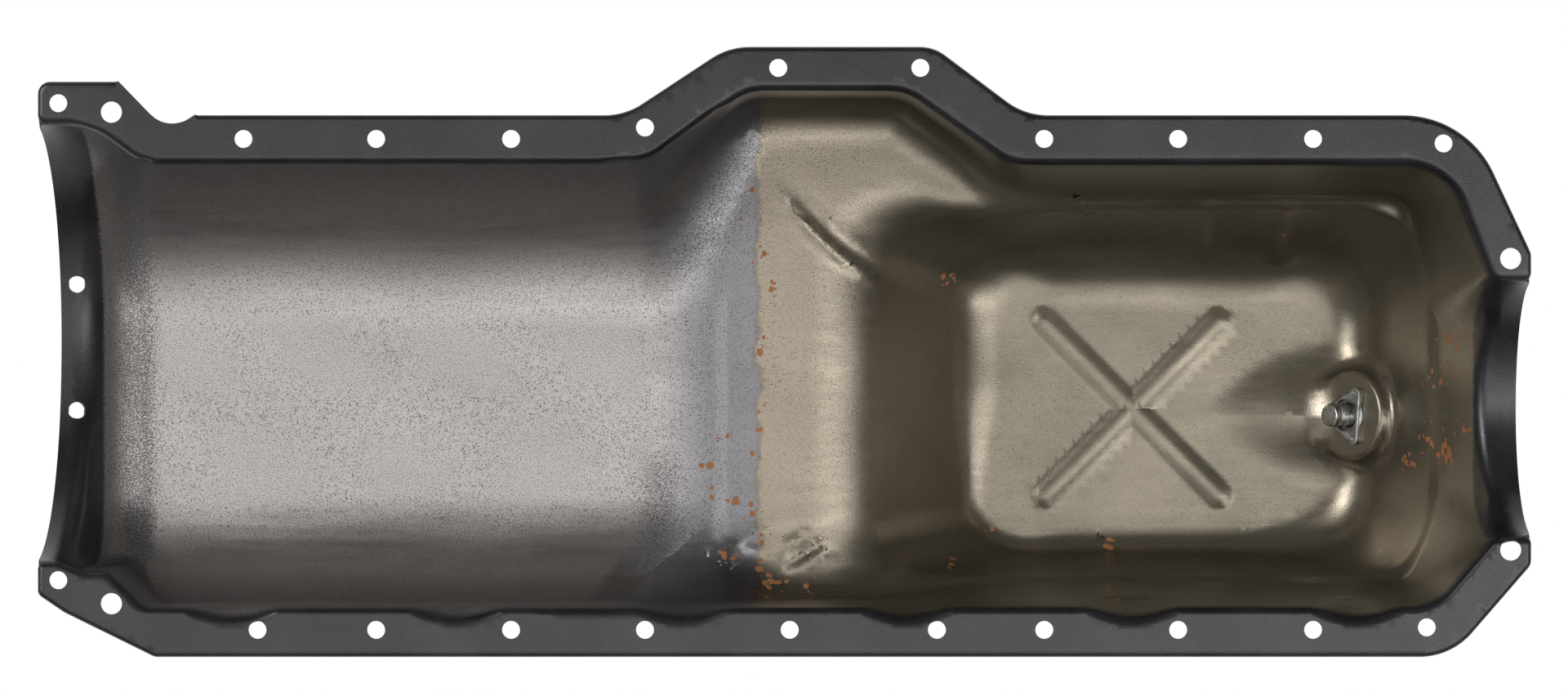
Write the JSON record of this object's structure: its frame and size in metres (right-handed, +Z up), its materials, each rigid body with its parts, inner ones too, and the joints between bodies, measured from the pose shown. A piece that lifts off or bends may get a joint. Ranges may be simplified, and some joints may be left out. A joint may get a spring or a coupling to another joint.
{
  "type": "engine oil pan",
  "caption": "Pressed steel engine oil pan with a shallow front trough, side bulge, deep rear sump, bolt flange, half-round seal saddles and a drain plug in the sump.",
  "frame": {"origin": "centre of the outer rectangle of four rail bolts, on the gasket face of the flange", "axes": "+X to the rear of the engine, where the sump is; +Z up to the engine block, out of the open top"},
  "size_m": [0.7321, 0.299, 0.1815],
  "materials": {
    "painted_steel": "satin black flange, thin speckled grey coat and oily bare steel inside",
    "plated_nut": "zinc plated",
    "plated_plug": "zinc plated",
    "washer": "plain"
  },
  "bodies": {
    "pan": {"pan_shell": "painted_steel", "drain_nut_plate": "plated_nut"},
    "washer": {"drain_washer": "washer"},
    "plug": {"drain_plug": "plated_plug"}
  },
  "joints": [
    {"name": "plug_back_out", "type": "slide", "parent": "pan", "child": "washer", "axis": [0.7547, 0, -0.6561], "range_m": [0, 0.019]},
    {"name": "plug_turn", "type": "hinge", "parent": "washer", "child": "plug", "pos_m": [0.2624, -0.0169, -0.16], "axis": [0.7547, 0, -0.6561], "range_deg": [0, 5400]}
  ],
  "couplings": [
    {"joint": "plug_turn", "follows": "plug_back_out", "rad_per_m": 4947.4}
  ]
}
